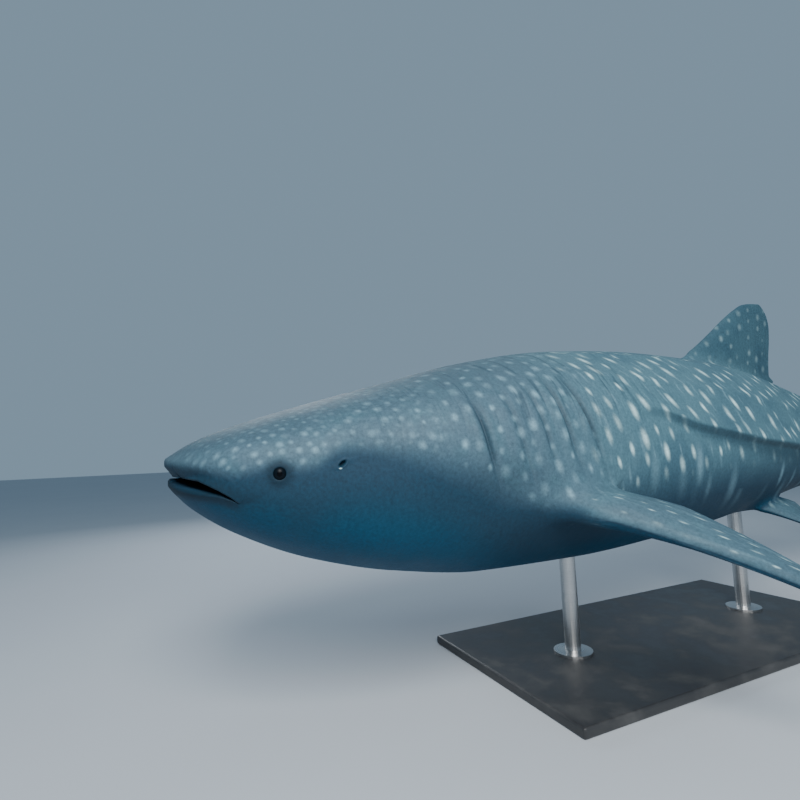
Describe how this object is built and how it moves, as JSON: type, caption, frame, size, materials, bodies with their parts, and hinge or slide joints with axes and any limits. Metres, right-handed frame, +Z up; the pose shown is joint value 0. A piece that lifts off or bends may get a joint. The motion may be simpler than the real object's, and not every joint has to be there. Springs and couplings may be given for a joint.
{
  "type": "whale shark",
  "caption": "Still, life-size model of a swimming whale shark with a broad flat head, ridged flanks, gill slits and spread fins, held on rods above a flat base",
  "frame": {"origin": "on the floor under the middle of the stand's base", "axes": "-X is the way the shark swims, -Y is its left side, +Z is up"},
  "size_m": [7.4187, 3.0852, 2.297],
  "materials": {
    "skin": "matt painted skin, grey-teal above with pale spots, pale below",
    "eye": "gloss black",
    "stand_paint": "satin black paint",
    "stand_steel": "brushed"
  },
  "bodies": {
    "root": {"head": "skin", "lower_jaw": "skin", "trunk": "skin", "tail": "skin", "caudal_fin_upper": "skin", "caudal_fin_lower": "skin", "dorsal_fin_first": "skin", "dorsal_fin_second": "skin", "anal_fin": "skin", "pectoral_fin_left": "skin", "pectoral_fin_right": "skin", "pelvic_fin_left": "skin", "pelvic_fin_right": "skin", "eye_left": "eye", "eye_right": "eye", "stand_base": "stand_paint", "stand_rod_front": "stand_steel", "stand_rod_rear": "stand_steel"}
  },
  "joints": []
}
